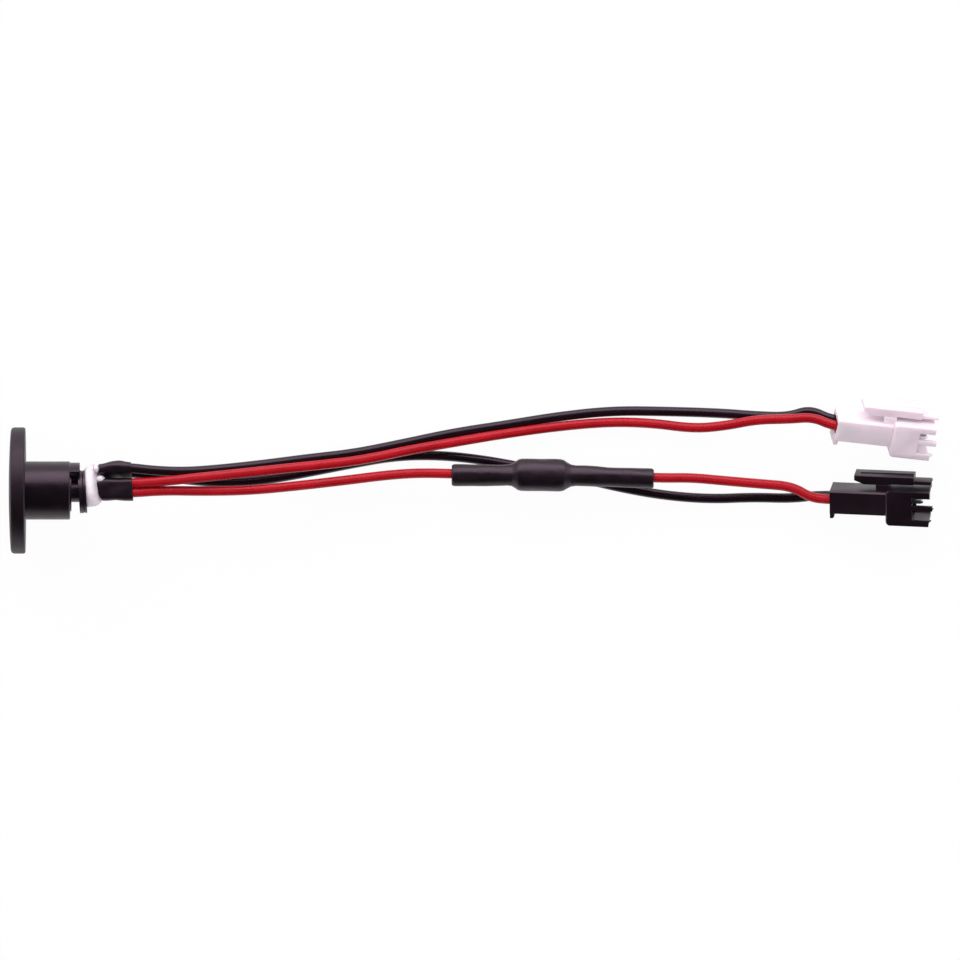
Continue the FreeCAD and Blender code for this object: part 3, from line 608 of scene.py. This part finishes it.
class SOCKET_OT_glue(bpy.types.Operator):
    """Models the hot-melt lump behind the rear plate"""

    bl_idname = "socket.glue"
    bl_label = "Glue lump"

    # Place along X, middle across, half width and half height.
    STATIONS = (
        (12.3, 0.5, 3.8, 3.6), (12.45, 0.55, 4.0, 3.95), (12.9, 0.7, 4.15, 4.1),
        (13.5, 0.9, 4.25, 4.0), (14.0, 1.1, 4.3, 3.5), (14.35, 1.25, 4.3, 2.7),
        (14.6, 1.3, 4.2, 1.9), (14.9, 1.35, 3.9, 1.25), (15.3, 1.3, 3.4, 0.95),
        (15.8, 1.2, 2.6, 0.7), (16.0, 1.1, 1.8, 0.4), (16.05, 1.1, 0.5, 0.1),
    )
    # Beads at the torn ends of the sleeves: middle and radii.
    BEADS = (
        ((14.5, 4.5, 0.75), (0.85, 0.95, 1.28)), ((15.35, 2.4, 0.6), (1.1, 0.85, 1.2)),
    )
    BEAD_STEPS = 3
    FACETS = 64
    # Below 1 it fills out the corners of each ring's ellipse.
    FULLNESS = 0.85
    # The lean of the rear plate in degrees, and how much the lean grows over 3.5 mm.
    PLATE_LEAN = 3.0
    LEAN_GROWTH = 2.2 / 3.5
    # Depth and size of the uneven surface in millimetres, and its place in the noise.
    UNEVEN = (0.12, 2.4, 3.0)

    def full(self, share):
        """Fills out an ellipse's corners a little."""
        return math.copysign(abs(share) ** self.FULLNESS, share)

    def execute(self, context):
        plate_lean = math.tan(math.radians(self.PLATE_LEAN))

        def outline(station, angle):
            x, middle, half_y, half_z = station
            across = half_y * self.full(math.cos(angle))
            up = half_z * self.full(math.sin(angle))
            lean = plate_lean * (1 + self.LEAN_GROWTH * (x - self.STATIONS[0][0]))
            return Vector((x - lean * across, middle + across, up)) * MM

        bm = tube_along_x(self.STATIONS, self.FACETS, outline)
        ends = [edge for edge in bm.edges if edge.is_boundary]
        bmesh.ops.holes_fill(bm, edges=ends, sides=0)
        for middle, radii in self.BEADS:
            made = bmesh.ops.create_icosphere(bm, subdivisions=self.BEAD_STEPS, radius=MM)
            bead = made["verts"]
            bmesh.ops.scale(bm, verts=bead, vec=radii)
            bmesh.ops.translate(bm, verts=bead, vec=Vector(middle) * MM)
        bmesh.ops.recalc_face_normals(bm, faces=bm.faces)
        depth, size, seed = self.UNEVEN
        ruffle(bm, depth * MM, size, seed)
        piece = keep("glue_lump", bm, hot_melt(), ["glue_boot"], sharp=60)
        smooth = piece.modifiers.new("smooth", "SUBSURF")
        smooth.levels = 1
        smooth.render_levels = 1
        return {"FINISHED"}


class SOCKET_OT_pair_sleeves(bpy.types.Operator):
    """Shrinks the two short sleeves over the pairs of leads"""

    bl_idname = "socket.pair_sleeves"
    bl_label = "Pair sleeves"

    # Place along the sleeve from 0 to 1, swelling, and shift towards +Y.
    UPPER = (
        (0.0, 0.85, -0.4), (0.1, 0.88, -0.33), (0.22, 0.93, -0.2), (0.35, 0.98, -0.06),
        (0.48, 1.03, 0.03), (0.6, 1.08, 0.05), (0.7, 1.07, 0.04), (0.8, 1.0, 0.0),
        (0.9, 0.93, -0.04), (1.0, 0.88, -0.06),
    )
    LOWER = (
        (0.0, 1.05, -0.02), (0.12, 1.07, -0.04), (0.28, 1.04, -0.03), (0.45, 1.0, 0.0),
        (0.62, 1.02, -0.03), (0.8, 1.05, -0.05), (1.0, 1.07, -0.06),
    )
    # Where the torn end starts, by its place across.
    UPPER_TORN = (
        (2.4, 16.6), (3.1, 15.75), (3.6, 15.0), (4.3, 15.35), (5.0, 15.05), (5.5, 15.1),
    )
    LOWER_TORN = (
        (-2.2, 15.95), (-1.6, 15.5), (-0.9, 15.05), (0.1, 14.75), (1.3, 14.6), (1.7, 14.75),
        (2.05, 15.8), (2.5, 16.4),
    )
    # How much the sleeve draws in between its two leads, and how square it goes round them.
    WAIST = 0.05
    SQUARENESS = 4
    # Rings between two places of a table, and the size of the folds in millimetres.
    RINGS = 5
    FOLD_MM = 0.9

    def torn(self, steps, across):
        """How far along the torn end reaches at one place across."""
        if across <= steps[0][0]:
            return steps[0][1]
        for (y0, x0), (y1, x1) in zip(steps, steps[1:]):
            if across <= y1:
                return x0 + (x1 - x0) * (across - y0) / (y1 - y0)
        return steps[-1][1]

    def sleeve(self, name, node, seats, stations, tear, end, slant, material, seed):
        """One sleeve round two seats, torn at its socket end and cut at the other."""
        settings = bpy.context.scene.socket_sleeves
        first, second = (Vector((0, across, up)) for across, up in seats)
        middle = (first + second) / 2
        half = (first - second) / 2
        along = half.normalized()
        aside = along.cross(Vector((1, 0, 0)))
        radius = (bpy.context.scene.socket_leads.diameter / 2 + settings.wall) / MM

        def outline(station, angle):
            share, swell, shift = station
            near = math.cos(angle)
            waist = 1 - self.WAIST * (1 - abs(near)) ** 2
            reach = radius * swell
            spot = along * near * reach + aside * math.sin(angle) * reach * waist
            spot += half * math.tanh(self.SQUARENESS * near) + middle + Vector((0, shift, 0))
            start = self.torn(tear, spot.y)
            stop = end - slant * (spot.y - middle.y)
            spot.x = start + (stop - start) * share
            return spot * MM

        fine = []
        for before, after in zip(stations, stations[1:]):
            for step in range(self.RINGS):
                mix = step / self.RINGS
                fine.append(tuple(a + (b - a) * mix for a, b in zip(before, after)))
        fine.append(stations[-1])
        bm = tube_along_x(fine, settings.facets, outline)
        ruffle(bm, settings.wrinkle, self.FOLD_MM, seed, stretch=2.0)
        piece = keep(name, bm, material, [node], sharp=50)
        wall_modifier(piece, settings.wall)

    def execute(self, context):
        material = heat_shrink()
        self.sleeve(
            "black_pair_sleeve", "sleeve_black_pair", (SEAT_BLACK_A, SEAT_BLACK_B),
            self.UPPER, self.UPPER_TORN, end=21.8, slant=0.05, material=material, seed=4.0)
        self.sleeve(
            "red_pair_sleeve", "sleeve_red_pair", (SEAT_RED_A, SEAT_RED_B),
            self.LOWER, self.LOWER_TORN, end=22.05, slant=0.06, material=material, seed=9.0)
        return {"FINISHED"}


class SOCKET_OT_diode_sleeve(bpy.types.Operator):
    """Shrinks the long sleeve over the diode and its solder joints"""

    bl_idname = "socket.diode_sleeve"
    bl_label = "Diode sleeve"

    # Place along the diode's axis and outer radius.
    PROFILE = (
        (-3.6, 1.9), (-3.45, 2.14), (-3.0, 2.28), (-1.2, 2.26), (1.2, 2.24), (3.6, 2.26),
        (6.0, 2.2), (7.9, 2.16), (8.8, 2.28), (9.5, 2.72), (10.1, 3.15), (10.8, 3.32),
        (12.0, 3.35), (14.8, 3.32), (17.6, 3.34), (18.8, 3.32), (19.5, 3.18), (20.2, 2.75),
        (21.0, 2.3), (22.0, 2.12), (24.0, 2.16), (26.4, 2.14), (28.4, 2.0), (30.5, 2.02),
        (33.5, 2.06), (36.0, 2.04), (37.5, 2.08), (37.9, 1.96), (38.05, 1.72),
    )
    # Place along the axis and how far the sleeve lies off it towards +Y.
    BEND = (
        (-3.6, -0.22), (6.0, -0.1), (10.5, 0.12), (19.0, 0.1), (24.0, 0.08), (30.0, -0.1),
        (38.1, -0.28),
    )
    # Its folds and wall beside those of the short sleeves, the folds' size in millimetres
    # and their place in the noise.
    FOLD_SHARE = 1.2
    WALL_SHARE = 1.2
    FOLD_MM = 1.6
    FOLD_SEED = 7.0

    def execute(self, context):
        settings = context.scene.socket_sleeves
        bm = bmesh.new()
        verts = [bm.verts.new((x * MM, 0, r * MM)) for x, r in self.PROFILE]
        for pair in zip(verts, verts[1:]):
            bm.edges.new(pair)
        bmesh.ops.subdivide_edges(bm, edges=bm.edges, cuts=2, smooth=0.6)
        bmesh.ops.spin(
            bm, geom=[*bm.verts, *bm.edges], cent=(0, 0, 0), axis=(1, 0, 0),
            angle=2 * math.pi, steps=settings.facets, use_merge=True, use_duplicate=False)
        bmesh.ops.remove_doubles(bm, verts=bm.verts, dist=MERGE_MM / 2 * MM)
        bmesh.ops.recalc_face_normals(bm, faces=bm.faces)
        for vert in bm.verts:
            place = vert.co.x / MM
            for (x0, y0), (x1, y1) in zip(self.BEND, self.BEND[1:]):
                if x0 <= place <= x1:
                    vert.co.y += (y0 + (y1 - y0) * (place - x0) / (x1 - x0)) * MM
                    break
        ruffle(
            bm, self.FOLD_SHARE * settings.wrinkle, self.FOLD_MM, self.FOLD_SEED, stretch=2.5)
        turn = Vector((1, 0, 0)).rotation_difference(DIODE_END - DIODE_START)
        place = Matrix.Translation(DIODE_START * MM) @ turn.to_matrix().to_4x4()
        bmesh.ops.transform(bm, matrix=place, verts=bm.verts)
        piece = keep(
            "diode_shrink_sleeve", bm, heat_shrink(), ["diode_sleeve"], sharp=60)
        wall_modifier(piece, self.WALL_SHARE * settings.wall)
        paint(["diode_body"], moulded_epoxy())
        paint(["diode_lead_in", "diode_lead_out"], tin_plate())
        joints = [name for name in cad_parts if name.startswith("solder_")]
        paint(joints, solder_joint())
        return {"FINISHED"}


class SOCKET_OT_housings(bpy.types.Operator):
    """Rounds the edges of the two crimp housings and plates their contacts"""

    bl_idname = "socket.housings"
    bl_label = "Crimp housings"

    # The lever's ends, its top and half width, the model's chamfer and the sharper one here.
    # A point that is off by less than NEAR is on the edge that is looked for.
    NEAR = 0.02
    LEVER_ENDS = (4.9, 17.4)
    LEVER_TOP = 5.8
    LEVER_HALF = 2.0
    CHAMFER = 0.45
    SHARP = 0.14
    # The shroud's mouth: where its walls end, and the bar between slot and window.
    SIDE_WALL = 3.0
    MOUTH = 20.0
    BAR = (-0.8, 0.3)
    # The upright corners where the rear block widens into the shroud.
    CORNER_FRONT = 12.2
    CORNER_SIDE = 3.98
    CORNER = 0.5

    def fit(self, bm, place, near_wall, far_bar):
        """Sharpens the lever's long edges and fits the ends of the shroud's walls.

        near_wall is how much longer the near wall gets, and far_bar how much shorter the
        bar of the far wall, in millimetres.
        """
        to_own = place.inverted()
        for vert in bm.verts:
            spot = to_own @ (vert.co / MM)
            side = math.copysign(1, spot.z)
            on_lever = self.LEVER_ENDS[0] < spot.x < self.LEVER_ENDS[1]
            if on_lever and abs(spot.y - self.LEVER_TOP) < self.NEAR:
                if abs(abs(spot.z) - self.LEVER_HALF + self.CHAMFER) < self.NEAR:
                    spot.z = side * (self.LEVER_HALF - self.SHARP)
            elif on_lever and abs(spot.y - self.LEVER_TOP + self.CHAMFER) < self.NEAR:
                if abs(abs(spot.z) - self.LEVER_HALF) < self.NEAR:
                    spot.y = self.LEVER_TOP - self.SHARP
            elif spot.x > self.MOUTH and spot.z > self.SIDE_WALL:
                spot.x += near_wall
            elif spot.x > self.MOUTH and spot.z < -self.SIDE_WALL:
                if self.BAR[0] < spot.y < self.BAR[1]:
                    spot.x -= far_bar
            vert.co = (place @ spot) * MM
        corners = []
        for edge in bm.edges:
            spots = [to_own @ (vert.co / MM) for vert in edge.verts]
            if all(s.x < self.CORNER_FRONT and abs(s.z) > self.CORNER_SIDE for s in spots):
                corners.append(edge)
        bmesh.ops.bevel(
            bm, geom=corners, offset=self.CORNER * MM, offset_type="OFFSET", affect="EDGES",
            segments=1, profile=0.5, material=-1, clamp_overlap=True)

    def execute(self, context):
        settings = context.scene.socket_mouldings
        plate = tin_plate()
        for colour, finish, place, near_wall, far_bar in (
            ("white", moulded_nylon_white(), WHITE_POSE, 0.0, 0.0),
            ("black", moulded_nylon_black(), BLACK_POSE, 0.42, 1.0),
        ):
            node = colour + "_housing"
            bm = merged_copy(node)
            self.fit(bm, place, near_wall, far_bar)
            round_edges(bm, settings.housing_edge, settings.steps)
            keep(colour + "_plug_housing", bm, finish, [node])
            paint([colour + "_contact_a", colour + "_contact_b"], plate)
        return {"FINISHED"}


class SOCKET_OT_declare_leads(bpy.types.Operator):
    """Does nothing: it states no lead lengths and nothing about what is on their ends"""

    bl_idname = "socket.declare_leads"
    bl_label = "Lead lengths"

    def execute(self, context):
        return {"FINISHED"}


class SOCKET_OT_stage(bpy.types.Operator):
    """Lays the white table and sets the soft lights"""

    bl_idname = "socket.stage"
    bl_label = "Stage"

    # Where the pale wall ends and the dim ceiling begins, as the upward part of a direction,
    # and how much higher the wall stands on the window's side.
    WALL_TOP = 0.15
    CEILING_LOW = 0.4
    WALL_SIDE = 0.35
    # Each light's place, width and depth in millimetres.
    WINDOW = ((90, 760, 480), 2400, 800)
    CEILING = ((90, -100, 1500), 1500, 1500)
    LAMP_COLOUR = (1.0, 0.95, 0.985)
    ROOM_COLOUR = (1.0, 0.96, 0.99, 1)
    PAPER_COLOUR = (0.86, 0.85, 0.86, 1)
    TABLE_HALF_M = 3.0

    def seen_rays(self, tree):
        """1 for rays that come from the camera, a mirror or glass."""
        path = add(tree, "ShaderNodeLightPath")
        first = add(tree, "ShaderNodeMath", {
            0: path.outputs["Is Camera Ray"], 1: path.outputs["Is Glossy Ray"]},
            operation="MAXIMUM")
        both = add(tree, "ShaderNodeMath", {
            0: first.outputs[0], 1: path.outputs["Is Transmission Ray"]}, operation="MAXIMUM")
        return both.outputs[0]

    def area_light(self, context, name, place_mm, width_mm, depth_mm, power, mirrored):
        """A rectangular soft light aimed at the object's middle."""
        data = bpy.data.lights.new(name, "AREA")
        data.shape = "RECTANGLE"
        data.size = width_mm * MM
        data.size_y = depth_mm * MM
        data.energy = power
        data.color = self.LAMP_COLOUR
        lamp = bpy.data.objects.new(name, data)
        lamp.location = Vector(place_mm) * MM
        lamp.visible_glossy = mirrored
        way = PHOTO_MIDDLE_MM - Vector(place_mm)
        lamp.rotation_euler = way.to_track_quat("-Z", "Y").to_euler()
        context.scene.collection.objects.link(lamp)

    def execute(self, context):
        settings = context.scene.socket_stage
        bm = bmesh.new()
        bmesh.ops.create_grid(bm, x_segments=1, y_segments=1, size=self.TABLE_HALF_M)
        bmesh.ops.translate(bm, verts=bm.verts, vec=(0, 0, FLOOR_Z))
        mesh = bpy.data.meshes.new("table")
        bm.to_mesh(mesh)
        bm.free()
        table = bpy.data.objects.new("table", mesh)
        context.scene.collection.objects.link(table)

        material, tree, output = blank("table_white")
        paper = add(tree, "ShaderNodeBsdfDiffuse", {"Color": self.PAPER_COLOUR})
        glow = add(tree, "ShaderNodeEmission", {"Color": (1, 1, 1, 1), "Strength": 1.0})
        seen = self.seen_rays(tree)
        share = add(tree, "ShaderNodeMath", {
            0: seen, 1: settings.table_white}, operation="MULTIPLY")
        mixed = add(tree, "ShaderNodeMixShader", {
            0: share.outputs[0], 1: paper.outputs["BSDF"], 2: glow.outputs["Emission"]})
        tree.links.new(mixed.outputs["Shader"], output.inputs["Surface"])
        mesh.materials.append(material)

        world = bpy.data.worlds.new("room")
        world.use_nodes = True
        tree = world.node_tree
        tree.nodes.clear()
        output = add(tree, "ShaderNodeOutputWorld")
        room = add(tree, "ShaderNodeBackground", {
            "Color": self.ROOM_COLOUR, "Strength": settings.sky})
        way = add(tree, "ShaderNodeTexCoord")
        parts = add(tree, "ShaderNodeSeparateXYZ", {"Vector": way.outputs["Generated"]})
        lean = add(tree, "ShaderNodeMath", {
            0: parts.outputs["Y"], 1: -self.WALL_SIDE, 2: parts.outputs["Z"]},
            operation="MULTIPLY_ADD")
        pale = add(tree, "ShaderNodeMapRange", {
            "Value": lean.outputs[0], "From Min": self.WALL_TOP, "From Max": self.CEILING_LOW,
            "To Min": 1.0, "To Max": settings.mirrored})
        white = add(tree, "ShaderNodeBackground", {
            "Color": (1, 1, 1, 1), "Strength": pale.outputs["Result"]})
        mixed = add(tree, "ShaderNodeMixShader", {
            0: self.seen_rays(tree), 1: room.outputs["Background"],
            2: white.outputs["Background"]})
        tree.links.new(mixed.outputs["Shader"], output.inputs["Surface"])
        context.scene.world = world

        self.area_light(context, "window", *self.WINDOW, settings.key, True)
        self.area_light(context, "ceiling", *self.CEILING, settings.fill, False)
        return {"FINISHED"}


class SOCKET_PT_panel(bpy.types.Panel):
    """Lists the settings and the pieces"""

    bl_idname = "SOCKET_PT_panel"
    bl_label = "Charging socket"
    bl_space_type = "VIEW_3D"
    bl_region_type = "UI"
    bl_category = "Socket"

    def draw(self, context):
        scene = context.scene
        for settings in SETTINGS:
            group = getattr(scene, settings)
            box = self.layout.box()
            for name in group.bl_rna.properties.keys():
                if name not in ("rna_type", "name"):
                    box.prop(group, name)
        for operator in OPERATORS:
            self.layout.operator(operator.bl_idname)


SETTINGS = {
    "socket_leads": LeadSettings,
    "socket_mouldings": MouldingSettings,
    "socket_sleeves": SleeveSettings,
    "socket_stage": StageSettings,
}
OPERATORS = (
    SOCKET_OT_camera, SOCKET_OT_leads, SOCKET_OT_shell, SOCKET_OT_glue,
    SOCKET_OT_pair_sleeves, SOCKET_OT_diode_sleeve, SOCKET_OT_housings,
    SOCKET_OT_declare_leads, SOCKET_OT_stage,
)
CLASSES = (*SETTINGS.values(), *OPERATORS, SOCKET_PT_panel)


def register():
    for item in CLASSES:
        bpy.utils.register_class(item)
    for name, group in SETTINGS.items():
        setattr(bpy.types.Scene, name, PointerProperty(type=group))


def unregister():
    for name in SETTINGS:
        delattr(bpy.types.Scene, name)
    for item in reversed(CLASSES):
        bpy.utils.unregister_class(item)


def main():
    register()
    bpy.ops.socket.camera()
    bpy.ops.socket.leads()
    bpy.ops.socket.shell()
    bpy.ops.socket.glue()
    bpy.ops.socket.pair_sleeves()
    bpy.ops.socket.diode_sleeve()
    bpy.ops.socket.housings()
    bpy.ops.socket.declare_leads()
    bpy.ops.socket.stage()


if __name__ == "__main__":
    main()
